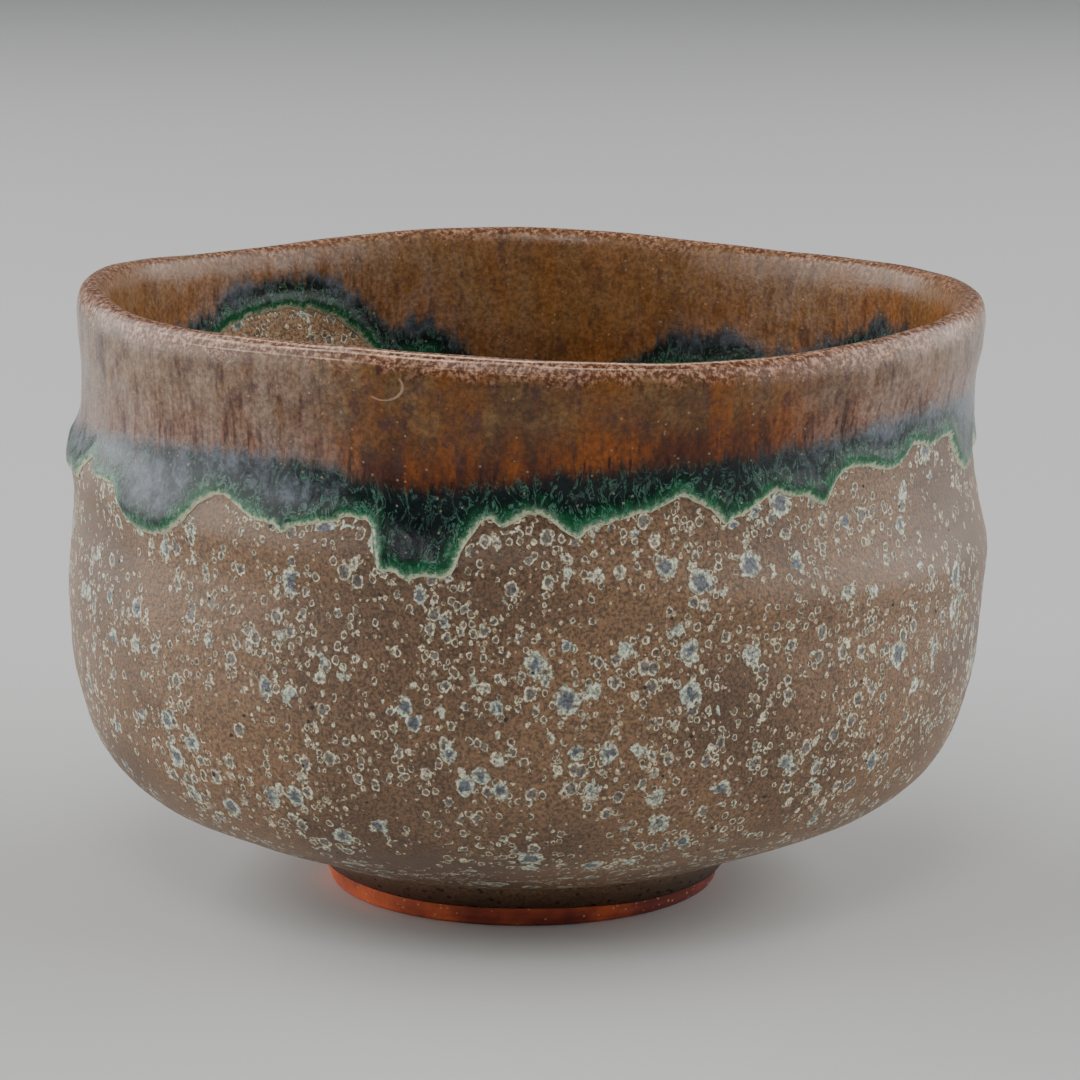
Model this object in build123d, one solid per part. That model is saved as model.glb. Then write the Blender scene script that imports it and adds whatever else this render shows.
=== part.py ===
from build123d import *
import math
import os

# Matcha bowl: a thrown clay wall on a turned foot ring, under four coats of glaze.
# Millimetres, +Z up, foot on z = 0. Azimuths are degrees from the front (-Y) towards +X.

# Sizes of the clay
bowl_height = 80.1           # rest face to the mean glazed rim
belly_radius = 60.5          # clay at the widest turn, without the throwing ridge
wall_thickness = 5.0         # clay at the belly
lip_thickness = 2.2          # clay at the rounded rim
floor_thickness = 6.4        # clay over the foot's recess
foot_height = 6.0
foot_top_radius = 27.6
foot_bottom_radius = 26.0
foot_ring_width = 6.2        # flat face the bowl stands on
recess_draft = 1.0           # narrowing of the recess from its mouth to its ceiling
foot_edge = 0.5              # wiped edges of the ring
foot_shoulder = 0.4          # rim of the underside that shows round the top of the foot

# Coats of glaze
speckled_coat = 0.25         # first glaze, inside and out
green_coat = 0.30            # second glaze, over the rim
amber_coat = 0.25            # third glaze, over the lip only
bare_band = 2.3              # clay left bare at the bottom of the foot

# The potter's hand
rim_waves = [(1, 0.90, -108), (2, 0.33, -76), (3, 0.34, -50), (4, 0.44, -4), (5, 0.28, -25)]
foot_offset = -0.7           # foot centre, along X from the body's own centre
lean = 1.15                  # how far the rim sits towards +X of the foot
ridge_level = 27.1           # throwing ridge: mean depth of its crest below the rim
ridge_climb = 6.0            # crest is this much higher at -X and lower at +X
ridge_swell = 1.2            # mean rise of the crest over the wall
ridge_swing = 0.4            # extra rise at -X, less at +X
ridge_reach = 4.0            # height over which it dies away

# Outside of the wall: share of the body's height, share of the way from foot to belly radius
outer_shares = [
    (0.017, 0.146), (0.045, 0.298), (0.086, 0.526), (0.141, 0.754), (0.210, 0.882),
    (0.320, 0.967), (0.450, 1.000), (0.550, 0.997), (0.665, 0.970), (0.750, 0.942),
    (0.820, 0.935), (0.890, 0.938), (0.950, 0.951), (1.000, 0.950),
]
# Inside of the wall, lip to floor: share of the depth, share of the radius inside the belly
inner_shares = [
    (0.900, 1.009), (0.750, 1.002), (0.600, 1.000), (0.450, 0.995), (0.315, 0.969),
    (0.200, 0.908), (0.115, 0.802), (0.055, 0.630), (0.022, 0.432), (0.007, 0.252),
    (0.000, 0.108),
]

# Lower edges of the coats: depth below the rim, extra at +X, fall at front and back,
# then the runs as azimuth, half width in degrees and drop
green_edge_outside = (18.2, 1.9, 0.9, [
    (-73.5, 4.5, 3.4), (-61.5, 3.5, 1.5), (-52, 8, 6.2), (-30, 7, 2.6), (-12.8, 5.6, 7.5),
    (-2.8, 2, 1.8), (5.8, 4.5, 3.6), (24, 5.5, 3.7), (37.5, 4.5, 3.3), (49.5, 4, 1),
    (72.5, 6, 5.6), (86, 5, 2.5), (97, 6, 5.5), (109, 4, 2), (119, 5, 4), (131, 4, 1.5),
    (143, 6.5, 6.5), (156, 4, 2.5), (166, 5, 3.5), (178, 4, 1.5), (188, 6, 5), (200, 4, 2),
    (211, 5.5, 4), (222, 4, 1.5), (233, 6, 6), (245, 4.5, 2.5), (256, 5, 4), (268, 4.5, 2),
    (278, 4, 3),
])
amber_edge_outside = (12.8, 2.1, 0.0, [
    (-13, 16, 2.4), (20, 16, 0.9), (-68, 10, 0.6), (110, 20, 1.5), (160, 15, 2.2), (215, 20, 1.4),
])
green_edge_inside = (17.1, 0.5, 0.8, [
    (20, 7, 4), (48, 5, 2.5), (75, 8, 6), (104, 6, 3), (128, 7, 5), (152, 5, 3.5), (171, 6, 5),
    (190, 5, 3), (236, 7, 5), (262, 6, 3), (290, 8, 6), (318, 6, 2.5), (345, 7, 4.5),
])
amber_edge_inside = (8.6, 0.4, 0.3, [(60, 18, 1.5), (150, 16, 2), (230, 20, 1.2), (320, 15, 2)])

# Working sizes
all_coats = speckled_coat + green_coat + amber_coat
lip_radius = lip_thickness / 2
lip_height = bowl_height - all_coats - lip_radius
body_height = lip_height - foot_height
floor_height = foot_height + floor_thickness
depth = lip_height - floor_height
inside_radius = belly_radius - wall_thickness
flare = belly_radius - foot_top_radius
lip_outer = foot_top_radius + outer_shares[-1][1] * flare
lip_middle = lip_outer - lip_radius
ring_points = 24
clear = 40.0                 # how far cutting shapes reach past the bowl
seam_turn = 2.0              # radians from the front to the seam of the cutting shapes


def even(points, count):
    """Evenly spread stations of the smooth curve through (radius, height) points."""
    curve = Edge.make_spline([(radius, 0, height) for radius, height in points])
    places = [curve.position_at(step / count) for step in range(count + 1)]
    return [(place.X, place.Z) for place in places]


def outside_points():
    """Wall from the top of the foot up to the lip."""
    points = [(foot_top_radius + foot_shoulder, foot_height)]
    for up, out in outer_shares:
        points.append((foot_top_radius + out * flare, foot_height + up * body_height))
    return points


def inside_points():
    """Wall from the lip down to the middle of the floor."""
    points = [(lip_middle - lip_radius, lip_height)]
    for up, out in inner_shares:
        points.append((out * inside_radius, floor_height + up * depth))
    return points


def lip_points():
    """Rounded rim between the two sides of the wall."""
    points = []
    for angle in (30, 60, 90, 120, 150):
        turn = math.radians(angle)
        out = lip_middle + lip_radius * math.cos(turn)
        points.append((out, lip_height + lip_radius * math.sin(turn)))
    return points


def clay_outline():
    """Whole section of the clay, as stations of radius, height and side."""
    outside = even(outside_points(), 34)
    inside = even(inside_points(), 26)
    stations = [(radius, height, 1) for radius, height in outside]
    stations += [(radius, height, 0) for radius, height in lip_points()]
    stations += [(radius, height, 0) for radius, height in inside]
    return stations


def grown(stations, coat):
    """Stations moved outwards, square to the section, by the thickness of a coat."""
    moved = []
    last = len(stations) - 1
    for place, (radius, height, side) in enumerate(stations):
        before = stations[max(place - 1, 0)]
        after = stations[min(place + 1, last)]
        run = after[0] - before[0]
        rise = after[1] - before[1]
        size = math.hypot(run, rise)
        moved.append((radius + coat * rise / size, height - coat * run / size, side))
    return moved


def smooth_step(value):
    share = min(max(value, 0), 1)
    return share * share * (3 - 2 * share)


def centre_at(height):
    """Centre of the bowl along X, which drifts from foot to rim."""
    return foot_offset + lean * (height / bowl_height) ** 2


def rim_wave(turn):
    return sum(rise * math.cos(count * (turn - math.radians(peak))) for count, rise, peak in rim_waves)


def ridge(height, turn):
    """Rise of the spiral throwing ridge over the wall."""
    crest = bowl_height - ridge_level - ridge_climb * math.sin(turn)
    swell = ridge_swell - ridge_swing * math.sin(turn)
    return swell * math.exp(-(((height - crest) / ridge_reach) ** 2))


def ring(radius, height, side):
    """One turn of the wall."""
    points = []
    lift = smooth_step((height - 0.4 * bowl_height) / (0.58 * bowl_height))
    for step in range(ring_points):
        turn = math.tau * step / ring_points
        out = radius + side * ridge(height, turn)
        across = centre_at(height) + out * math.sin(turn)
        points.append((across, -out * math.cos(turn), height + lift * rim_wave(turn)))
    return Wire([Edge.make_spline(points, periodic=True)])


def vessel(stations):
    """Solid between the outside and the inside of the wall, closed over the lip."""
    return Solid.make_loft([ring(*station) for station in stations], ruled=True)


def foot_radius_at(height):
    return foot_bottom_radius + (foot_top_radius - foot_bottom_radius) * height / foot_height


def coated_foot(coat):
    """Stations of a coat on the side of the foot, from the bare band up to the wall."""
    low = bare_band
    high = foot_height - 2 * coat
    middle = (low + high) / 2
    stations = [(foot_radius_at(height) + coat, height, 1) for height in (low, middle)]
    stations.append((foot_radius_at(high) + 1.6 * coat, high, 1))
    return stations


def edge_height(edge, turn):
    """Height of a coat's lower edge at an azimuth."""
    depth_below, sway, fall, runs = edge
    drop = 0
    for azimuth, half_width, length in runs:
        gap = (math.degrees(turn) - azimuth + 180) % 360 - 180
        share = min(abs(gap) / half_width, 1)
        drop = max(drop, length * math.sqrt(1 - share ** 3))
    level = bowl_height - depth_below
    return level + sway * math.sin(turn) - fall * math.cos(2 * turn) - drop


def edge_ring(edge, radius, count=120):
    points = []
    for step in range(count):
        turn = seam_turn + math.tau * step / count
        height = edge_height(edge, turn)
        points.append((radius * math.sin(turn), -radius * math.cos(turn), height))
    return Edge.make_spline(points, periodic=True)


def above(edge):
    """Everything higher than a coat's lower edge."""
    reach = belly_radius + clear
    sheet = Face.make_surface_from_curves(edge_ring(edge, 20), edge_ring(edge, reach))
    return Solid.extrude(sheet, Vector(0, 0, bowl_height))


def middle_of_wall(stations):
    """Plug that ends inside the clay all round, to part the inside from the outside."""
    inside = [station for station in grown(stations, -wall_thickness / 2) if station[2] == 0]
    low = [(radius, height) for radius, height, side in inside if height < 0.4 * bowl_height]
    split = lip_middle - lip_radius / 4
    section = [(split, bowl_height + clear), (split, low[0][1] + wall_thickness)]
    section += low + [(0, low[-1][1]), (0, bowl_height + clear)]
    lines = Polyline(*[(out, 0, height) for out, height in section], close=True)
    return Pos(centre_at(bowl_height), 0, 0) * revolve(make_face(lines), Axis.Z)


def rim_coat(coat, plug, edge_outside, edge_inside):
    """Part of a coat between its lower edges, in one piece over the lip."""
    outside = (coat - plug) & above(edge_outside)
    inside = (coat & plug) & above(edge_inside)
    return outside + inside


def foot_section():
    """Section of the turned ring with its wiped edges."""
    inner = foot_bottom_radius - foot_ring_width
    return [
        (foot_bottom_radius, foot_edge), (foot_top_radius, foot_height),
        (inner - recess_draft, foot_height), (inner, foot_edge), (inner + foot_edge, 0),
        (foot_bottom_radius - foot_edge, 0),
    ]


def foot_solid(section):
    """Ring turned about the foot's own centre."""
    lines = Polyline(*[(out, 0, height) for out, height in section], close=True)
    return Pos(centre_at(0), 0, 0) * revolve(make_face(lines), Axis.Z)


def filled_foot():
    """Foot without its recess, run a little into the clay, so that coats stop at its side."""
    top = foot_height + foot_shoulder
    section = [(0, 0), (foot_bottom_radius, 0), (foot_radius_at(top), top), (0, top)]
    return foot_solid(section)


def build():
    clay = clay_outline()
    speckled = coated_foot(speckled_coat) + grown(clay, speckled_coat)[2:]
    green = grown(speckled, green_coat)
    amber = grown(green, amber_coat)
    clay_body = vessel(clay)
    coated = vessel(speckled)
    dipped = vessel(green)
    dipped_again = vessel(amber)
    plug = middle_of_wall(clay)

    base = coated - clay_body - filled_foot()
    return {
        "clay_body": clay_body,
        "foot_ring": foot_solid(foot_section()),
        "outer_speckled_glaze": base - plug,
        "inner_speckled_glaze": base & plug,
        "green_glaze": rim_coat(dipped - coated, plug, green_edge_outside, green_edge_inside),
        "amber_rim_glaze": rim_coat(dipped_again - dipped, plug, amber_edge_outside, amber_edge_inside),
    }


parts = build()
middle = parts["outer_speckled_glaze"].bounding_box().center()
os.makedirs("parts", exist_ok=True)
for name, part in parts.items():
    placed = Pos(-middle.X, -middle.Y, 0) * part
    export_step(placed, f"parts/{name}.step")
    print(name, round(placed.volume, 1))
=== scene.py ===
import math
import bpy
import numpy as np
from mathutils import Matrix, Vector, kdtree


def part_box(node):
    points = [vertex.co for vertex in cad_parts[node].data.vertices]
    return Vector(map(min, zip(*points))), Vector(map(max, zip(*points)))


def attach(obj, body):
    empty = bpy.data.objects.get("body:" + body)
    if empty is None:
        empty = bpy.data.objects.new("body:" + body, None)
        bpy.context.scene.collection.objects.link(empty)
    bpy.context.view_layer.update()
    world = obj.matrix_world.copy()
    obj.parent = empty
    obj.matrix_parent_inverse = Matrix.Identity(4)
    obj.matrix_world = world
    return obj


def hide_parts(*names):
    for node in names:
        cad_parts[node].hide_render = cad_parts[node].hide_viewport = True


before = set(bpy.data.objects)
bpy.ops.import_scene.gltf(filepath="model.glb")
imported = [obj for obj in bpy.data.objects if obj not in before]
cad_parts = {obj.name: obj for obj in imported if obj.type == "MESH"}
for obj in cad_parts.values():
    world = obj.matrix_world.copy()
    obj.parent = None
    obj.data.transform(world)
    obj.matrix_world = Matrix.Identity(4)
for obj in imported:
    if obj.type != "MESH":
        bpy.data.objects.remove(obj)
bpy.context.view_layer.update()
bpy.ops.object.select_all(action="DESELECT")

# Camera
# A long lens a little above the rim, so that the far wall of the inside shows over the lip.
# The bowl sits a touch left of the middle of the view.
bpy.ops.object.camera_add(location=(0, -0.5639, 0.1586), rotation=(math.radians(90 - 11.28), 0, 0))
camera = bpy.context.object
camera.data.lens = 143.3
camera.data.sensor_width = 36
camera.data.shift_x = 0.0111
camera.data.clip_start = 0.01
bpy.context.scene.camera = camera

# The clay body
# Wall and floor of dark red stoneware, thrown from one lump of clay, with a spiral finger ridge and an
# uneven lip. Glaze hides it except under the foot, where turning has left rings and a small nub.
MM = 0.001
clay_section = [
    (28.0, 6.0), (32.4, 7.2), (37.4, 9.2), (44.9, 12.2), (52.4, 16.2), (56.6, 21.2),
    (59.4, 29.1), (60.5, 38.5), (60.4, 45.7), (59.5, 54.0), (58.6, 60.2), (58.35, 65.2),
    (58.45, 70.3), (58.9, 74.6), (58.85, 78.2), (58.45, 79.05), (57.75, 79.3), (57.05, 79.05),
    (56.65, 78.2), (56.0, 71.6), (55.6, 61.8), (55.5, 51.9), (55.2, 42.0), (53.8, 33.1),
    (50.4, 25.6), (44.5, 20.0), (35.0, 16.0), (24.0, 13.85), (14.0, 12.86), (6.0, 12.4), (0.0, 12.3),
]
recess_line = [(0.0, 5.6), (1.2, 5.62), (2.4, 5.85), (4.0, 5.98), (12.0, 6.0), (22.0, 6.0), (28.0, 6.05)]
bowl_height = 80.1
lean = 1.15
wave_foot, wave_rise = 32.04, 46.46
rim_waves = [(1, 0.90, -108), (2, 0.33, -76), (3, 0.34, -50), (4, 0.44, -4), (5, 0.28, -25)]
foot_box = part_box("foot_ring")
foot_x = 500 * (foot_box[0].x + foot_box[1].x)


def section_line(points):
    """Smooth line through (radius, height) points in mm, as points 0.1 mm apart."""
    bpy.ops.curve.primitive_bezier_curve_add()
    drawn = bpy.context.object
    spline = drawn.data.splines[0]
    spline.bezier_points.add(len(points) - 2)
    for knot, (radius, height) in zip(spline.bezier_points, points):
        knot.co = (radius, 0, height)
        knot.handle_left_type = "AUTO"
        knot.handle_right_type = "AUTO"
    drawn.data.resolution_u = 32
    bpy.ops.object.convert(target="MESH")
    line = np.array([v.co[:] for v in bpy.context.object.data.vertices])[:, [0, 2]]
    bpy.ops.object.delete()
    reach = np.append(0, np.cumsum(np.hypot(*np.diff(line, axis=0).T)))
    even = np.linspace(0, reach[-1], round(reach[-1] / 0.1))
    return np.column_stack([np.interp(even, reach, line[:, k]) for k in (0, 1)])


def rim_wave(turn):
    return sum(rise * np.cos(count * (turn - math.radians(peak))) for count, rise, peak in rim_waves)


def smooth_step(value):
    share = np.clip(value, 0, 1)
    return share * share * (3 - 2 * share)


def lift(height):
    """Share of the rim's wave that a height of the wall follows."""
    return smooth_step((height - wave_foot) / wave_rise)


def ridge(height, turn):
    """Spiral finger ridge, higher and stronger on the left, lower on the right."""
    crest = 53 - 6 * np.sin(turn)
    return (1.2 - 0.4 * np.sin(turn)) * np.exp(-(((height - crest) / 4) ** 2))


class Section:
    """A line of the wall, and where its points come on the uneven bowl."""

    def __init__(self, points):
        self.line = section_line(points)
        self.reach = np.append(0, np.cumsum(np.hypot(*np.diff(self.line, axis=0).T)))
        run = np.gradient(self.line, axis=0)
        run /= np.hypot(run[:, 0], run[:, 1])[:, None]
        self.out = np.column_stack([run[:, 1], -run[:, 0]])
        self.crown = self.reach[np.argmax(self.line[:, 1])]
        self.end = self.reach[-1]

    def at(self, along, turn, thick):
        """Places in metres, along the line from the foot, at a turn, standing out by thick mm."""
        radius, height = (np.interp(along, self.reach, self.line[:, k]) for k in (0, 1))
        out, up = (np.interp(along, self.reach, self.out[:, k]) for k in (0, 1))
        swell = np.where(along < self.crown, ridge(height, turn), 0)
        radius = radius + out * thick + swell
        height = height + up * thick
        across = foot_x + lean * (height / bowl_height) ** 2 + radius * np.sin(turn)
        return np.stack([across, -radius * np.cos(turn), height + lift(height) * rim_wave(turn)], -1) * MM

    def level_at(self, height, turn):
        """Height on the line that the rim's wave lifts to a real height."""
        level = height
        for _ in range(4):
            level = height - lift(level) * rim_wave(turn)
        return level

    def outside_at(self, height, turn):
        """Distance along the line of a real height on the outside of the wall."""
        outer = self.reach <= self.crown
        return np.interp(self.level_at(height, turn), self.line[outer, 1], self.reach[outer])

    def inside_at(self, height, turn):
        """The same on the inside."""
        inner = self.reach >= self.crown
        return np.interp(-self.level_at(height, turn), -self.line[inner, 1], self.reach[inner])


def points_of(piece):
    """Places of all the points of a piece."""
    places = np.empty(len(piece.data.vertices) * 3, np.float32)
    piece.data.vertices.foreach_get("co", places)
    return places.reshape(-1, 3).astype(float)


def settle(piece, places):
    """Put every point of a piece in its place."""
    piece.data.vertices.foreach_set("co", places.astype(np.float32).ravel())
    piece.data.update()
    bpy.ops.object.select_all(action="DESELECT")
    piece.select_set(True)
    bpy.context.view_layer.objects.active = piece
    bpy.ops.object.shade_smooth()


def face_out(piece):
    """Join the rolled edges of a piece and make its faces look outwards."""
    bpy.ops.object.mode_set(mode="EDIT")
    bpy.ops.mesh.select_all(action="SELECT")
    bpy.ops.mesh.remove_doubles(threshold=0.000001)
    bpy.ops.mesh.normals_make_consistent(inside=False)
    bpy.ops.object.mode_set(mode="OBJECT")


def paint(red, green, blue):
    """Colour as seen, 0 to 255, made linear."""
    shades = [c / 255 for c in (red, green, blue)]
    return tuple(c / 12.92 if c < 0.04045 else ((c + 0.055) / 1.055) ** 2.4 for c in shades) + (1.0,)


def put(tree, kind, inputs=None, output=0, **settings):
    """Add a node, set or link its inputs, and give one of its outputs."""
    step = tree.nodes.new("ShaderNode" + kind)
    for key, value in settings.items():
        setattr(step, key, value)
    for key, value in (inputs or {}).items():
        if isinstance(value, bpy.types.NodeSocket):
            tree.links.new(value, step.inputs[key])
        else:
            step.inputs[key].default_value = value
    return step.outputs[output]


def blend(tree, share, low, high, mode="MIX"):
    return put(tree, "Mix", {0: share, 6: low, 7: high}, 2, data_type="RGBA", blend_type=mode)


def span(tree, value, low, high, start=0.0, end=1.0):
    """Smooth change from start to end while value goes from low to high."""
    limits = {0: value, 1: low, 2: high, 3: start, 4: end}
    return put(tree, "MapRange", limits, interpolation_type="SMOOTHSTEP")


def arithmetic(tree, kind, a, b=0.0):
    return put(tree, "Math", {0: a, 1: b}, operation=kind)


def times(tree, a, b):
    return arithmetic(tree, "MULTIPLY", a, b)


def plus(tree, a, b):
    return arithmetic(tree, "ADD", a, b)


def less(tree, a, b):
    return arithmetic(tree, "SUBTRACT", a, b)


def cloud(tree, place, size, detail=2.0, rough=0.55, warp=0.0):
    """Soft noise, 0 to 1, with lumps about size mm across."""
    settings = {"Vector": place, "Scale": 1000 / size, "Detail": detail}
    settings.update({"Roughness": rough, "Distortion": warp})
    return put(tree, "TexNoise", settings)


def cells(tree, place, size, output):
    return put(tree, "TexVoronoi", {"Vector": place, "Scale": 1000 / size}, output)


def new_finish(name):
    """Empty material: its tree, shader and the object place."""
    finish = bpy.data.materials.new(name)
    finish.use_nodes = True
    tree = finish.node_tree
    shader = tree.nodes["Principled BSDF"]
    place = put(tree, "TexCoord", None, 3)
    return finish, tree, shader, place


def raise_bump(tree, shader, height, depth):
    """Relief of depth mm."""
    bump = put(tree, "Bump", {"Height": height, "Distance": depth * MM, "Strength": 1.0})
    tree.links.new(bump, shader.inputs["Normal"])


def red_clay(name, light, dark):
    """Iron-red stoneware, lighter towards the left."""
    finish, tree, shader, place = new_finish(name)
    across = put(tree, "SeparateXYZ", {0: place}, 0)
    cloudy = less(tree, cloud(tree, place, 9, 3), times(tree, across, 9))
    body = blend(tree, span(tree, cloudy, 0.35, 0.80), dark, light)
    fine = cloud(tree, place, 0.5, 3, 0.7)
    body = blend(tree, span(tree, fine, 0.52, 0.75, 0, 0.45), body, paint(92, 36, 24))
    grit = cells(tree, place, 1.1, 0)
    body = blend(tree, span(tree, grit, 0.12, 0.2, 0.55, 0), body, paint(214, 170, 140))
    tree.links.new(body, shader.inputs["Base Color"])
    shader.inputs["Roughness"].default_value = 0.78
    relief = blend(tree, 0.5, fine, span(tree, grit, 0, 0.3, 1, 0))
    raise_bump(tree, shader, relief, 0.12)
    return finish


ball_radius = 0.06


def round_piece(name, columns, rows):
    """Closed round shape with a pole at each end of its section."""
    bpy.ops.mesh.primitive_uv_sphere_add(segments=columns, ring_count=rows, radius=ball_radius)
    piece = bpy.context.object
    piece.name = name
    piece.data.name = name
    return piece


def round_steps(piece, columns, rows):
    """Turn and row of every point of a round piece, the poles at rows 0 and rows."""
    co = points_of(piece)
    turn = np.arctan2(co[:, 0], -co[:, 1])
    fall = np.arccos(np.clip(co[:, 2] / ball_radius, -1, 1))
    turn = np.round(turn / math.tau * columns) * math.tau / columns
    return turn, np.round(fall / math.pi * rows).astype(int)


wall = Section(recess_line + clay_section[1:])
foot_inside = 22
underside_rows = 60
columns, rows = 160, 190
clay_body = round_piece("clay_body_wall", columns, rows)
turn, row = round_steps(clay_body, columns, rows)
underside = np.linspace(0, foot_inside, underside_rows)
rest = np.linspace(foot_inside, wall.end, rows + 2 - underside_rows)[1:]
along = np.append(underside, rest)[::-1][row]
groove = np.where(along < 19, 0.05 * np.sin(along * 7.5 + turn), 0)
settle(clay_body, wall.at(along, turn, groove))
face_out(clay_body)
clay_body.data.materials.append(red_clay("bare red clay", paint(168, 84, 52), paint(122, 50, 34)))
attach(clay_body, "root")
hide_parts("clay_body")

# The foot ring
# A ring of the same clay, turned true and wiped, that lifts the bowl off the table. Its lower edge
# is bare and fired orange to dark red. Kiln sand has left small chips and grains in it.
foot_section = [
    (19.8, 0.55), (19.95, 0.2), (20.3, 0.03), (21.5, 0.0), (24.6, 0.0), (25.3, 0.05), (25.75, 0.3),
    (26.1, 0.9), (26.55, 2.2), (27.1, 4.2), (27.55, 5.95), (18.85, 5.95), (19.3, 3.2),
]
columns = 288
bpy.ops.object.select_all(action="DESELECT")
bpy.ops.mesh.primitive_circle_add(vertices=len(foot_section), radius=0.01)
foot_ring = bpy.context.object
foot_ring.name = "foot_ring_turned"
for point, (radius, height) in zip(foot_ring.data.vertices, foot_section):
    point.co = (radius * MM, 0, height * MM)
bpy.ops.object.mode_set(mode="EDIT")
bpy.ops.mesh.select_all(action="SELECT")
bpy.ops.mesh.subdivide(number_cuts=3)
bpy.ops.mesh.spin(steps=columns, angle=math.tau, center=(0, 0, 0), axis=(0, 0, 1))
bpy.ops.mesh.select_all(action="SELECT")
bpy.ops.mesh.remove_doubles(threshold=0.00002)
bpy.ops.mesh.normals_make_consistent(inside=False)
bpy.ops.object.mode_set(mode="OBJECT")
places = points_of(foot_ring)
turn = np.arctan2(places[:, 0], -places[:, 1])
high = places[:, 2] / MM
wobble = 0.07 * np.sin(high * 6 + 2 * turn) + 0.06 * np.sin(3 * turn) + 0.04 * np.sin(11 * turn + high)
places[:, :2] *= 1 + (wobble * np.clip(high, 0, 1) / 26)[:, None]
places[:, 0] += foot_x * MM
settle(foot_ring, places)
foot_ring.data.materials.append(red_clay("bare foot clay", paint(206, 96, 50), paint(104, 36, 26)))
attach(foot_ring, "root")
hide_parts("foot_ring")

# The speckled glaze
# Satin brown iron glaze, dipped first, inside and out, over the whole bowl down to the foot. Pale
# crystal rings with blue-grey hearts grew in it. Its edge on the foot was wiped unevenly.


def coated(points, coat):
    """Section points moved out by a coat."""
    line = np.array(points, float)
    run = np.gradient(line, axis=0)
    run /= np.hypot(run[:, 0], run[:, 1])[:, None]
    return [tuple(p) for p in line + coat * np.column_stack([run[:, 1], -run[:, 0]])]


speckled_section = [(26.86, 2.3), (27.29, 3.9), (27.8, 5.3), (29.4, 6.05)] + coated(clay_section, 0.25)[1:]
speckled = Section(speckled_section)


def ring_piece(name, columns, rows):
    """Sheet that is rolled both ways into a closed ring of glaze."""
    bpy.ops.mesh.primitive_grid_add(x_subdivisions=columns, y_subdivisions=rows, size=2)
    piece = bpy.context.object
    piece.name = name
    piece.data.name = name
    return piece


def ring_steps(piece, columns, rows):
    """Column and row of every point of a ring piece, the last ones lying on the first."""
    share = (points_of(piece)[:, :2] + 1) / 2
    column = np.round(share[:, 0] * columns).astype(int) % columns
    row = np.round(share[:, 1] * rows).astype(int) % rows
    return column, row


def stretch(tree, place, across, up):
    """Object place, with the pattern squeezed across and drawn out upwards."""
    return put(tree, "Mapping", {0: place, 3: (across, across, up)})


def number(tree, name):
    return put(tree, "Attribute", None, 2, attribute_name=name)


def shaken(tree, place, size, reach):
    """Object place moved about by reach mm, so that round cells come out ragged."""
    shake = put(tree, "TexNoise", {"Vector": place, "Scale": 1000 / size, "Detail": 2.0}, 1)
    shake = put(tree, "VectorMath", {0: shake, 1: (0.5, 0.5, 0.5)}, 0, operation="SUBTRACT")
    shake = put(tree, "VectorMath", {0: shake, 3: 2 * reach * MM}, 0, operation="SCALE")
    return put(tree, "VectorMath", {0: place, 1: shake}, 0, operation="ADD")


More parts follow.
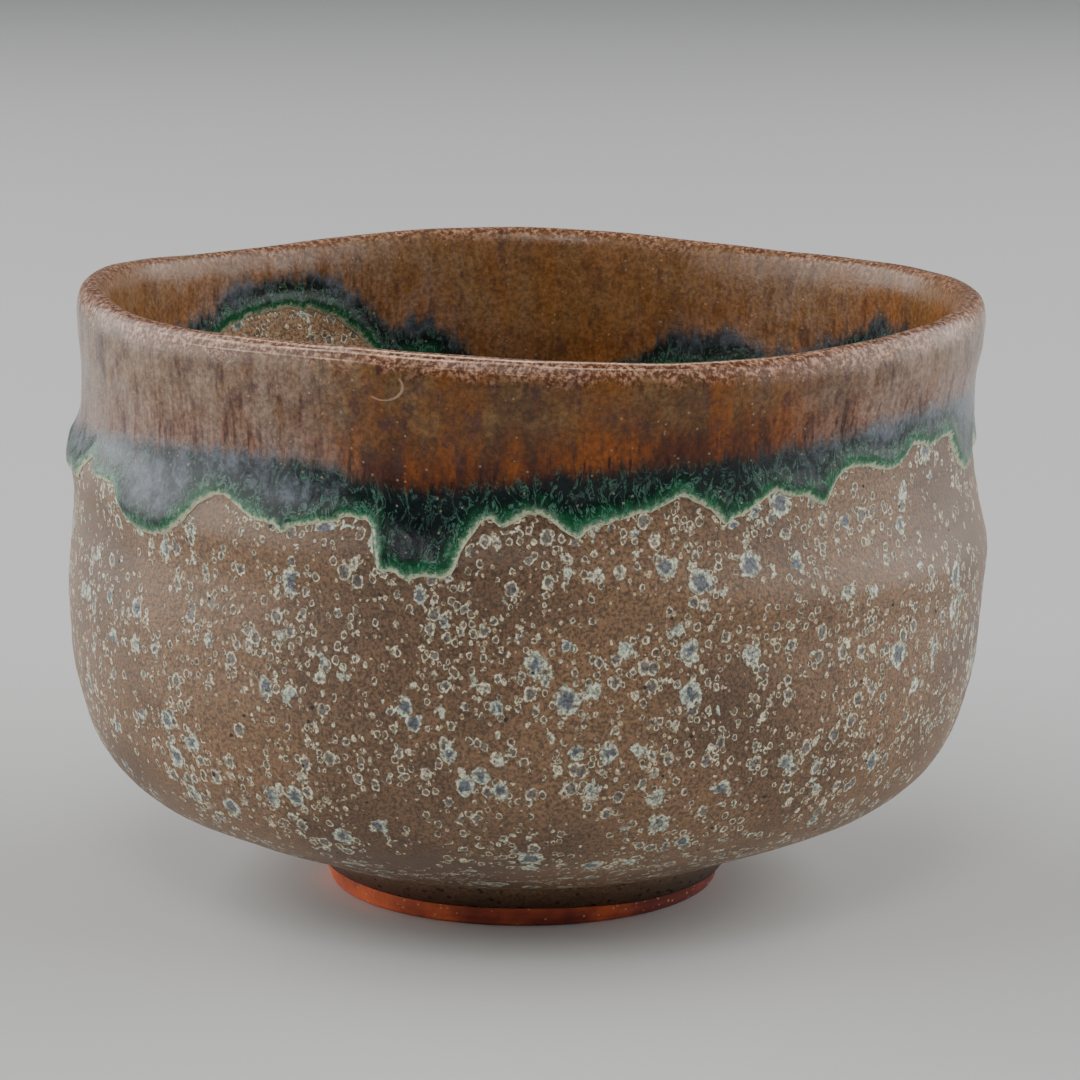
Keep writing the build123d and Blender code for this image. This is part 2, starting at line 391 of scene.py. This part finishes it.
def speckles(name, body_light, body_dark, rings):
    """Satin brown glaze with sandy grain and crystal rings of several sizes, crowded in bands."""
    finish, tree, shader, place = new_finish(name)
    high = put(tree, "SeparateXYZ", {0: place}, 2)
    patch = cloud(tree, place, 26, 3)
    grain = cloud(tree, place, 0.42, 3, 0.7)
    body = blend(tree, span(tree, patch, 0.38, 0.62), body_dark, body_light)
    on_foot = span(tree, high, 0.0062, 0.0085, 1, 0)
    body = blend(tree, times(tree, on_foot, 0.85), body, paint(122, 94, 64))
    near = span(tree, number(tree, "edge_mm"), 1.3, 0.2)

    drift = plus(tree, high, times(tree, patch, 0.012))
    bands = 0
    for level, reach in [(0.0495, 0.006), (0.036, 0.005)]:
        away = arithmetic(tree, "ABSOLUTE", less(tree, drift, level))
        bands = plus(tree, bands, span(tree, away, reach, reach / 4))
    crowd = plus(tree, cloud(tree, place, 9, 3), times(tree, bands, 0.11))
    crowd = plus(tree, crowd, times(tree, near, 0.2))
    broken = span(tree, cloud(tree, place, 0.8, 2), 0.36, 0.50, 0.2, 1.0)
    relief = times(tree, grain, 1.2)
    for size, ragged, reach, chance, heart_place, heart, heart_share, pale in rings:
        spot = shaken(tree, stretch(tree, place, 1.0, 0.82), *ragged)
        gap = cells(tree, spot, size, 0)
        lots = cells(tree, spot, size, 1)
        there = less(tree, span(tree, crowd, 0.34, 0.66, *chance), put(tree, "SeparateColor", {0: lots}, 0))
        there = span(tree, there, 0, 0.02)
        there = times(tree, there, less(tree, 1.0, on_foot))
        reach = span(tree, put(tree, "SeparateColor", {0: lots}, 1), 0, 1, *reach)
        gap = arithmetic(tree, "DIVIDE", gap, reach)
        ring = times(tree, span(tree, gap, 1.0, 0.85), there)
        middle = times(tree, span(tree, gap, *heart_place), there)
        body = blend(tree, times(tree, ring, broken), body, pale)
        body = blend(tree, times(tree, middle, heart_share), body, heart)
        raised = less(tree, ring, times(tree, middle, 0.7))
        relief = plus(tree, relief, raised)
    shade = span(tree, grain, 0.36, 0.64, 0.42, 1.5)
    body = blend(tree, 1.0, body, shade, "MULTIPLY")

    # Pits, pits on the foot and one blister, painted near-black: partly the clay they bare, partly painted
    # shade inside them
    shaded_hole = span(tree, cells(tree, place, 4.0, 0), 0.075, 0.05)
    pits = times(tree, span(tree, cells(tree, place, 1.5, 0), 0.24, 0.14), on_foot)
    shaded_hole = arithmetic(tree, "MAXIMUM", shaded_hole, times(tree, pits, 0.8))
    blister = {0: stretch(tree, place, 1.3, 1.0), 1: (0.0030, -0.0755, 0.0252)}
    blister = put(tree, "VectorMath", blister, 1, operation="DISTANCE")
    shaded_hole = arithmetic(tree, "MAXIMUM", shaded_hole, span(tree, blister, 0.0009, 0.0005))
    body = blend(tree, shaded_hole, body, paint(20, 13, 10))
    relief = less(tree, relief, times(tree, shaded_hole, 4))
    tree.links.new(body, shader.inputs["Base Color"])
    tree.links.new(span(tree, grain, 0.3, 0.7, 0.36, 0.58), shader.inputs["Roughness"])
    shader.inputs["Specular IOR Level"].default_value = 0.6
    raise_bump(tree, shader, relief, 0.08)
    return finish


# Each size of crystal: cell in mm, raggedness, reach and chance from sparse to crowded places,
# then where its heart starts, the heart's colour and strength, and the colour of its ring
beige = paint(180, 162, 130)
cream = paint(206, 198, 168)
mint = paint(190, 196, 174)
rings = [
    (0.9, (0.4, 0.10), (0.16, 0.36), (0.10, 0.75), (0.45, 0.20), paint(96, 68, 46), 0.60, beige),
    (1.25, (0.5, 0.24), (0.26, 0.46), (0.15, 0.95), (0.78, 0.56), paint(84, 60, 42), 0.90, cream),
    (2.1, (0.6, 0.45), (0.24, 0.46), (0.05, 0.80), (0.78, 0.54), paint(84, 76, 74), 0.90, cream),
    (3.8, (0.7, 0.75), (0.22, 0.44), (0.00, 0.62), (0.74, 0.42), paint(80, 84, 94), 0.92, mint),
]
outer_finish = speckles("speckled brown outside", paint(118, 88, 60), paint(92, 66, 43), rings)
inner_finish = speckles("speckled brown inside", paint(150, 118, 86), paint(122, 92, 66), rings)

columns, rows = 576, 170
outer_coat = ring_piece("outer_speckled_coat", columns, rows)
column, row = ring_steps(outer_coat, columns, rows)
turn = column * math.tau / columns
under_dips = speckled.outside_at(68.0, 0.0)
front = np.linspace(0, under_dips, 146)
top = np.linspace(under_dips, speckled.crown, 9)[1:]
back = np.linspace(speckled.crown, 0, rows - len(front) - len(top) + 2)[1:-1]
along = np.concatenate([front, top, back])[row]
hidden = row >= len(front) + len(top)
thick = np.where(hidden, -0.2, 0.0)
thick = np.where(row == 0, -0.1, thick)
foot_tilt = np.clip(1 - along / 3.0, 0, 1) * (0.35 - 0.45 * np.sin(turn) + 0.12 * np.sin(5 * turn + 1))
turned = 0.02 * np.sin(along * 2.3 + turn + 2 * np.sin(along * 0.31))
turned = turned + 0.04 * np.sin(along * 0.6 - 2 * turn + 1.3)
thick = thick + np.where(hidden, 0, turned * smooth_step((along - 8) / 10))
settle(outer_coat, speckled.at(along + foot_tilt, turn, thick))
face_out(outer_coat)
outer_coat.data.materials.append(outer_finish)
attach(outer_coat, "root")
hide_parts("outer_speckled_glaze")

columns, rows = 420, 190
inner_coat = round_piece("inner_speckled_coat", columns, rows)
turn, row = round_steps(inner_coat, columns, rows)
shown_rows = 150
shown = np.linspace(speckled.end, speckled.crown, shown_rows)
back = np.linspace(speckled.crown, speckled.end, rows + 2 - shown_rows)[1:]
along = np.append(shown, back)[row]
hidden = row >= shown_rows
turned = 0.06 * np.sin(along * 1.6 + turn) + 0.04 * np.sin(along * 0.7 - turn)
faded = smooth_step((along - speckled.crown - 6) / 10) * smooth_step((speckled.end - along) / 4)
settle(inner_coat, speckled.at(along, turn, np.where(hidden, -0.2, turned * faded)))
face_out(inner_coat)
inner_coat.data.materials.append(inner_finish)
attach(inner_coat, "root")
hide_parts("inner_speckled_glaze")

# The green glaze
# Thick copper glaze in which the rim was dipped upside down. It ran down over the speckled coat in
# rounded lobes: cream at the very edge, then emerald, then blue-black, and milky where it is thickest;
# at the left and right this milky blue-grey is partly painted reflection of the side lights.
green_line = [
    (-76, 58.5), (-73.5, 57.5), (-71, 59.5), (-68, 61.5), (-66.5, 59.8), (-65, 59.3), (-61, 59.4),
    (-59.3, 59), (-57.5, 56.5), (-55, 54.9), (-52, 54.4), (-48, 54.8), (-45, 56.5), (-42.5, 59.4),
    (-40, 61), (-37.5, 60.5), (-35, 59), (-32, 58.4), (-30.2, 58.2), (-29.5, 57), (-28.7, 58.2),
    (-27, 58.6), (-23, 59.2), (-21.2, 60), (-18.8, 59.5), (-17.9, 58.2), (-17.7, 55.5), (-17.2, 53.8),
    (-15, 53.9), (-13.5, 52.6), (-12, 53.7), (-9.8, 53.2), (-8.2, 54.1), (-7.8, 55.6), (-7.4, 57.1),
    (-6, 59.1), (-5, 60.3), (-4, 60.4), (-3.5, 59.3), (-2.5, 59.2), (-1, 60.5), (1.2, 61.1),
    (3.7, 59.3), (5.8, 57.6), (6.8, 58.9), (10, 59.8), (13.2, 60.7), (15.5, 61.1), (18, 62.6),
    (20.5, 61.6), (23, 59.8), (23.8, 58.4), (24.8, 59.2), (26.5, 59.8), (29.2, 61.3), (30.8, 62.4),
    (31.8, 61.5), (35, 61.1), (38, 59.6), (38.8, 59.7), (39.3, 61.5), (40.8, 63.3), (43.5, 63.8),
    (46.8, 63.2), (49, 62.5), (52, 62.7), (54.8, 64.8), (56.5, 64.9), (58.8, 64), (61.8, 64.4),
    (65.5, 64.6), (66.8, 62.9), (69.2, 60.3), (72.5, 58.8), (76, 59.5), (79, 62.8), (82, 61),
    (86, 59.5), (90, 62.2), (93, 57.8), (97, 56), (101, 57), (104, 61.5), (109, 60), (113, 62.4),
    (116, 59), (119, 58.2), (123, 60.5), (128, 62), (134, 60), (137, 61), (139, 56), (143, 54.2),
    (147, 55), (150, 60), (155, 58.5), (160, 61), (165, 57.8), (170, 59.5), (176, 60.8), (180, 59),
    (184, 56.5), (188, 55.8), (192, 57), (195, 60.8), (200, 59.2), (205, 60.6), (209, 57),
    (213, 56.8), (216, 60.5), (222, 59.5), (227, 61), (230, 55.5), (234, 54.3), (238, 56), (241, 60.6),
    (246, 58.8), (251, 60.4), (256, 57), (261, 58.5), (264, 60.8), (269, 59.4), (274, 60.6), (279, 57.5),
]
green_line_inside = [
    (-180, 57), (-171, 58), (-167, 62), (-163, 62.5), (-158, 62), (-154, 66), (-150, 69.2),
    (-146, 70.6), (-141, 71.2), (-135, 70.8), (-130, 69.6), (-125, 67.5), (-120, 64.5), (-112, 62.5),
    (-104, 64.5), (-92, 62), (-80, 65.5), (-66, 62.5), (-52, 65.5), (-40, 61.5), (-27, 64.5),
    (-12, 61.5), (4, 64.5), (18, 61.5), (33, 65), (47, 61.5), (62, 64.5), (76, 62.5), (90, 65),
    (100, 64), (108, 66), (116, 67), (122, 66), (128, 62.5), (136, 61), (146, 62), (152, 61),
    (158, 61.5), (165, 59), (170, 57.5),
]
amber_line = [
    (-80, 63.8), (-69, 64.8), (-52, 66), (-43, 66.5), (-33, 66.9), (-25, 66.4), (-19, 64.9), (-15, 64.1),
    (-10, 64.3), (0, 65.5), (6, 66.4), (13, 66.8), (20, 67), (28, 67.4), (37, 68), (45, 68.9), (56, 69.6),
    (68, 69.3), (82, 69), (110, 67.5), (150, 66), (180, 67.5), (215, 66), (250, 66.5), (268, 64.5),
]
amber_line_inside = [
    (-180, 61), (-172, 62), (-169, 66), (-165.5, 69), (-161, 68.5), (-158, 68), (-154, 71.5),
    (-148, 75.5), (-140, 76.3), (-132, 75.5), (-125, 73), (-116, 70.5), (-104, 70), (-80, 70.5),
    (-40, 70.5), (0, 71), (40, 70.5), (80, 71), (104, 70.5), (112, 72), (120, 72.5), (127, 69),
    (135, 65.5), (142, 65.5), (148, 68), (154, 67), (160, 66), (165, 63), (170, 61),
]


def mark(piece, name, values):
    """Keep a number for every point, for the material to read."""
    layer = piece.data.attributes.new(name, "FLOAT", "POINT")
    layer.data.foreach_set("value", np.asarray(values, np.float32))


def edge_height(turn, line, soft):
    """Height in mm of a coat's edge through the points of a line, softened over some degrees."""
    azimuth, height = np.array(sorted((a % 360, h) for a, h in line)).T
    fine = np.arange(0, 360, 0.1)
    heights = np.interp(fine, azimuth, height, period=360)
    spread = np.exp(-((np.arange(-60, 61) * 0.1 / soft) ** 2))
    wrapped = np.concatenate([heights[-60:], heights, heights[:60]])
    heights = np.convolve(wrapped, spread / spread.sum(), "valid")
    return np.interp(np.degrees(turn) % 360, fine, heights, period=360)


def green_edge(turn):
    """Outer edge with small scallops where the glaze crept down."""
    large = 0.2 * np.abs(np.sin(turn * 61 + 2 * np.sin(5 * turn)))
    small = 0.12 * np.abs(np.sin(turn * 143 + 3 * np.sin(7 * turn)))
    return edge_height(turn, green_line, 0.5) - large - small + 0.2


def green_edge_inside(turn):
    return edge_height(turn, green_line_inside, 0.8) - 0.3 * np.abs(np.sin(turn * 47))


def amber_edge(turn):
    return edge_height(turn, amber_line, 2.0)


def amber_edge_inside(turn):
    return np.maximum(edge_height(turn, amber_line_inside, 2.0), green_edge_inside(turn) + 1.5)


steps_a_degree = 8
edge_turns = np.linspace(0, math.tau, 360 * steps_a_degree, endpoint=False)
edge_points = np.concatenate([
    speckled.at(speckled.outside_at(green_edge(edge_turns), edge_turns), edge_turns, 0.0),
    speckled.at(speckled.inside_at(green_edge_inside(edge_turns), edge_turns), edge_turns, 0.0),
]) / MM
edge_tree = kdtree.KDTree(len(edge_points))
for k, point in enumerate(edge_points):
    edge_tree.insert(point, k)
edge_tree.balance()


def from_edge(places):
    """Distance in mm from the nearest edge of the green glaze."""
    return np.array([edge_tree.find(p)[2] for p in places / MM])


def glaze_depth(gap, hang):
    """Thickness of the green glaze at a distance from its edge: a bead, then an even coat."""
    bead = 0.24 * np.exp(-(((gap - 1.2) / 1.1) ** 2)) + 0.2 * hang * np.exp(-(((gap - 2.4) / 2.2) ** 2))
    return (0.3 + bead) * (1 - np.exp(-gap / 0.3)) - 0.08 * np.exp(-gap / 0.12)


def lip_lines(along, turn):
    """Fine raised lines round the lip, left by the leather strap that smoothed it."""
    lines = 0
    for place, size, phase in [(-0.5, 1.0, 0.0), (-1.15, 0.8, 2.0), (-1.85, 0.6, 4.0)]:
        drift = 0.12 * np.sin(3 * turn + phase) + 0.05 * np.sin(17 * turn + phase)
        strength = size * (0.12 + 0.88 * np.clip(np.cos(turn + 0.1 + 0.1 * phase), 0, 1) ** 3)
        away = along - speckled.crown - place - drift
        lines = np.maximum(lines, strength * np.exp(-((away / 0.13) ** 2)))
    return lines


def rim_rows(low, high):
    """Rows of a rim coat, close together at both edges and on the lip."""
    start = np.array([0, 0.1, 0.22, 0.38, 0.58, 0.82, 1.1, 1.45, 1.85, 2.3, 2.8, 3.35])
    rise = np.linspace(0, 1, 26)
    lip = np.linspace(-3.2, 1.2, 26)
    crown = speckled.crown
    outer = low + start[:, None]
    body = outer[-1] + (crown - 3.2 - outer[-1]) * rise[1:-1, None]
    edge = high - start[::-1][:, None]
    inner = crown + 1.2 + (edge[0] - crown - 1.2) * np.linspace(0, 1, 22)[1:-1, None]
    return np.concatenate([outer, body, crown + lip[:, None] + 0 * low, inner, edge])


def green_depth(along, turn, base):
    """Thickness of the green coat: deeper under the long runs, with the slow swell of a dipped coat."""
    gap = from_edge(base)
    hang = np.clip((61 + 1.5 * np.sin(turn) - green_edge(turn)) / 6, 0, 1.2)
    swell = 0.04 * np.sin(9 * turn + along * 0.2) + 0.03 * np.sin(23 * turn + 1 + along * 0.1)
    return glaze_depth(gap, hang) + swell * smooth_step(gap / 3)


def rim_coat(name, low, high):
    """Ring from a coat's outer edge over the lip to its inner edge, and back behind its face."""
    front = rim_rows(low, high)
    behind = high + (low - high) * np.linspace(0, 1, 12)[1:-1, None]
    grid = np.concatenate([front, behind])
    coat = ring_piece(name, len(low), len(grid))
    column, row = ring_steps(coat, len(low), len(grid))
    return coat, grid[row, column], column, row < len(front)


def rim_glaze(name):
    """Glossy glaze that runs from pinkish brown at the lip through amber to blue-black and green."""
    finish, tree, shader, place = new_finish(name)
    edge, dip, lip, line, veil_and_painted_sheen, inside = (
        number(tree, kind) for kind in ("edge_mm", "dip_mm", "lip_mm", "line", "veil_and_painted_sheen", "inside")
    )
    streak = cloud(tree, stretch(tree, place, 1.0, 0.12), 0.8, 3, 0.6)
    broad = cloud(tree, stretch(tree, place, 1.0, 0.3), 4, 3, 0.6)
    mottle = cloud(tree, place, 3.2, 4, 0.62, 0.6)
    fleck = cloud(tree, place, 0.6, 3, 0.7)
    curl = cloud(tree, stretch(tree, place, 1.0, 0.6), 2.0, 4, 0.6, 3.0)
    wander = plus(tree, dip, times(tree, less(tree, streak, 0.5), 5.0))
    runny = times(tree, less(tree, broad, 0.5), times(tree, inside, 7))
    wander = plus(tree, wander, runny)

    # Below the dip line: pale outline, emerald, blue-black body, and a milky blue-grey veil at the sides,
    # partly milky glaze and partly painted reflection
    creep = plus(tree, edge, times(tree, less(tree, mottle, 0.5), 5.0))
    creep = plus(tree, creep, times(tree, less(tree, curl, 0.5), 2.0))
    deep = blend(tree, span(tree, creep, 0.4, 2.2), paint(18, 80, 48), paint(5, 42, 26))
    deep = blend(tree, span(tree, creep, 1.2, 3.0), deep, paint(3, 16, 17))
    deep = blend(tree, span(tree, creep, 3.0, 5.5), deep, paint(7, 10, 17))
    # Milky blue-grey at the sides: partly milky glaze where thick, partly painted reflection of the side
    # lights
    milk_and_painted_sheen = times(tree, veil_and_painted_sheen, span(tree, creep, 2.2, 5.2))
    milk_and_painted_sheen = times(tree, milk_and_painted_sheen, span(tree, mottle, 0.34, 0.62, 0.5, 0.95))
    wisp = times(tree, span(tree, curl, 0.52, 0.57), span(tree, curl, 0.63, 0.58))
    wisp = times(tree, wisp, span(tree, creep, 6.0, 1.5, 0.1, 0.55))
    deep = blend(tree, wisp, deep, paint(88, 138, 116))
    deep = blend(tree, milk_and_painted_sheen, deep, paint(92, 99, 107))
    outline = plus(tree, edge, times(tree, less(tree, fleck, 0.5), 2.6))
    deep = blend(tree, span(tree, outline, 1.0, 0.45, 0, 0.85), deep, paint(112, 142, 112))
    deep = blend(tree, span(tree, outline, 0.55, 0.2), deep, paint(204, 202, 172))

    # Above it: amber with dark runs, then olive brown with violet smudges, then the pale lip
    amber = blend(tree, span(tree, broad, 0.36, 0.66), paint(66, 28, 8), paint(124, 64, 10))
    # Amber greyed at the sides: painted reflection of the side lights
    amber = blend(tree, span(tree, veil_and_painted_sheen, 0.2, 1.0, 0, 0.6), amber, paint(120, 88, 72))
    bleed = times(tree, span(tree, streak, 0.52, 0.66), span(tree, wander, 7.0, 0.5, 0.3, 0.95))
    amber = blend(tree, bleed, amber, paint(40, 10, 14))
    olive = blend(tree, span(tree, mottle, 0.32, 0.68), paint(76, 52, 32), paint(112, 84, 52))
    # More orange in the middle, away from the painted reflection at the sides
    warm = times(tree, span(tree, broad, 0.34, 0.68), span(tree, veil_and_painted_sheen, 1.0, 0.0, 0.3, 0.85))
    olive = blend(tree, warm, olive, paint(112, 62, 14))
    smudge = cloud(tree, stretch(tree, place, 0.8, 0.6), 3.0, 4, 0.65)
    olive = blend(tree, span(tree, smudge, 0.54, 0.66, 0, 0.7), olive, paint(62, 36, 40))
    high = blend(tree, span(tree, wander, 1.0, 7.5), amber, olive)
    high = blend(tree, times(tree, inside, 0.35), high, paint(160, 112, 60))
    # Soft grey haze along streaks and smudges at the sides: painted reflection of the soft lights
    painted_reflection_haze = plus(tree, span(tree, streak, 0.62, 0.40, 0, 0.3), span(tree, smudge, 0.62, 0.38, 0, 0.4))
    painted_reflection_haze = times(tree, painted_reflection_haze, veil_and_painted_sheen)
    high = blend(tree, painted_reflection_haze, high, paint(142, 122, 108))
    stain = cloud(tree, stretch(tree, place, 1.0, 0.5), 2.4, 3)
    stain = times(tree, span(tree, stain, 0.56, 0.68), 0.45)
    high = blend(tree, stain, high, paint(66, 38, 40))
    pink = blend(tree, span(tree, fleck, 0.42, 0.66), paint(112, 70, 50), paint(196, 152, 124))
    near_lip = plus(tree, lip, times(tree, less(tree, mottle, 0.5), 5))
    high = blend(tree, span(tree, near_lip, 2.8, 0.4, 0, 0.8), high, pink)
    # The strap's lines in pale pink: partly glaze thinned over their ridges, partly painted highlight,
    # strongest at the front
    high = blend(tree, span(tree, line, 0.25, 0.8), high, paint(236, 202, 180))
    body = blend(tree, span(tree, wander, -1.6, 1.2), deep, high)
    body = blend(tree, 1.0, body, span(tree, fleck, 0.34, 0.66, 0.68, 1.3), "MULTIPLY")

    # A hook-shaped scratch near the lip, left of the front, and scattered pale pinholes
    flat = put(tree, "Mapping", {0: place, 3: (0.75, 0.0, 1.0)})
    hook = put(tree, "VectorMath", {0: flat, 1: (-0.0129, 0.0, 0.0762)}, 1, operation="DISTANCE")
    hook = span(tree, arithmetic(tree, "ABSOLUTE", less(tree, hook, 0.0017)), 0.0002, 0.00005)
    across, deep_in, up = (put(tree, "SeparateXYZ", {0: place}, axis) for axis in (0, 1, 2))
    below = less(tree, times(tree, across, 0.7), up)
    hook = times(tree, hook, span(tree, below, -0.0884, -0.0876))
    hook = times(tree, hook, span(tree, deep_in, -0.045, -0.05))
    dots = cells(tree, place, 1.3, 0)
    lot = put(tree, "SeparateColor", {0: cells(tree, place, 1.3, 1)}, 0)
    speck = times(tree, span(tree, dots, 0.15, 0.08), span(tree, lot, 0.5, 0.6))
    speck = times(tree, speck, 0.3)
    marks = arithmetic(tree, "MAXIMUM", speck, times(tree, hook, 0.35))
    body = blend(tree, marks, body, paint(206, 176, 146))
    tree.links.new(body, shader.inputs["Base Color"])
    tree.links.new(span(tree, mottle, 0.3, 0.7, 0.2, 0.34), shader.inputs["Roughness"])
    shader.inputs["Specular IOR Level"].default_value = 0.3
    relief = plus(tree, times(tree, speck, -1.5), times(tree, streak, 0.5))
    relief = plus(tree, plus(tree, relief, mottle), times(tree, hook, 1.5))
    relief = plus(tree, relief, times(tree, fleck, 0.6))
    raise_bump(tree, shader, relief, 0.07)
    return finish


def dress(piece, along, turn, places):
    """Give a rim coat the numbers that its colour follows."""
    edge = from_edge(places)
    height = places[:, 2] / MM
    outside = along < speckled.crown
    line = np.where(outside, amber_edge(turn), amber_edge_inside(turn))
    mark(piece, "edge_mm", edge)
    mark(piece, "dip_mm", height - line)
    mark(piece, "lip_mm", np.abs(along - speckled.crown + 0.5))
    # Lip lines, whose pale colour is partly painted highlight
    mark(piece, "line", lip_lines(along, turn))
    # The veil is partly milky glaze and partly painted reflection of the side lights: outside it covers the
    # left and right sides as seen from the front, inside two patches at the back left and right where the
    # lip shows pale sheen
    degrees = (np.degrees(turn) + 180) % 360 - 180
    left = smooth_step((-degrees - 16) / 14)
    right = smooth_step((degrees - 24) / 24)
    back_left = 0.85 * np.exp(-(((degrees + 141) / 34) ** 2))
    back_right = 0.5 * np.exp(-(((degrees - 140) / 26) ** 2))
    inside_sheen_patches = 0.1 + back_left + back_right
    mark(piece, "veil_and_painted_sheen", np.where(outside, np.maximum(left, right), inside_sheen_patches))
    mark(piece, "inside", np.where(outside, 0.0, 1.0))


for coat in (outer_coat, inner_coat):
    mark(coat, "edge_mm", from_edge(points_of(coat)))
turns = np.arange(840) * math.tau / 840
low = speckled.outside_at(green_edge(turns), turns)
high = speckled.inside_at(green_edge_inside(turns), turns)
green_coat, along, column, shown = rim_coat("green_dipped_coat", low, high)
turn = turns[column]
base = speckled.at(along, turn, 0.0)
settle(green_coat, speckled.at(along, turn, np.where(shown, green_depth(along, turn, base), -0.1)))
dress(green_coat, along, turn, base)
face_out(green_coat)
rim_finish = rim_glaze("running green and amber glaze")
green_coat.data.materials.append(rim_finish)
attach(green_coat, "root")
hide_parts("green_glaze")

# The amber glaze
# The lip was dipped once more in an iron glaze, which melted into the green one below it with no
# step. It has thinned to pinkish brown on the lip, where the strap's fine lines show through; their pale
# colour is partly painted highlight, strongest at the front.
low = speckled.outside_at(amber_edge(turns), turns)
highest_inside = 73
high = speckled.inside_at(np.minimum(amber_edge_inside(turns), highest_inside), turns)
amber_coat, along, column, shown = rim_coat("amber_dipped_coat", low, high)
turn = turns[column]
base = speckled.at(along, turn, 0.0)
feather = np.minimum(along - low[column], high[column] - along)
over = 0.25 * smooth_step(feather / 4.5) - 0.02 * np.exp(-feather / 0.3) + 0.08 * lip_lines(along, turn)
settle(amber_coat, speckled.at(along, turn, np.where(shown, green_depth(along, turn, base) + over, 0.1)))
dress(amber_coat, along, turn, base)
face_out(amber_coat)
amber_coat.data.materials.append(rim_finish)
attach(amber_coat, "root")
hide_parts("amber_rim_glaze")

# The table and the light
# A plain pale table top. Two large soft lights stand to the left and right, slightly behind the
# bowl, and a weaker one in front and above fills the middle.
bpy.ops.object.select_all(action="DESELECT")
bpy.ops.mesh.primitive_plane_add(size=8, location=(0, 0, 0))
table = bpy.context.object
table.name = "table_top"
table_finish, tree, shader, place = new_finish("pale table top")
shader.inputs["Base Color"].default_value = (0.64, 0.64, 0.63, 1)
shader.inputs["Roughness"].default_value = 0.7
table.data.materials.append(table_finish)

for name, spot, size, watts in [
    ("left soft light", (-1.1, 0.15, 0.55), (2.2, 1.2), 27),
    ("right soft light", (1.1, 0.15, 0.55), (2.2, 1.2), 24),
    ("front soft light", (-0.15, -1.2, 1.2), (0.6, 0.6), 6),
]:
    bpy.ops.object.light_add(type="AREA", location=spot)
    lamp = bpy.context.object
    lamp.name = name
    lamp.rotation_euler = (Vector((0, 0, 0.045)) - Vector(spot)).to_track_quat("-Z", "Y").to_euler()
    lamp.data.shape = "RECTANGLE"
    lamp.data.size, lamp.data.size_y = size
    lamp.data.energy = watts

world = bpy.data.worlds.new("soft studio")
bpy.context.scene.world = world
world.use_nodes = True
world.node_tree.nodes["Background"].inputs["Color"].default_value = (0.9, 0.95, 1.0, 1)
world.node_tree.nodes["Background"].inputs["Strength"].default_value = 0.14
bpy.context.view_layer.update()
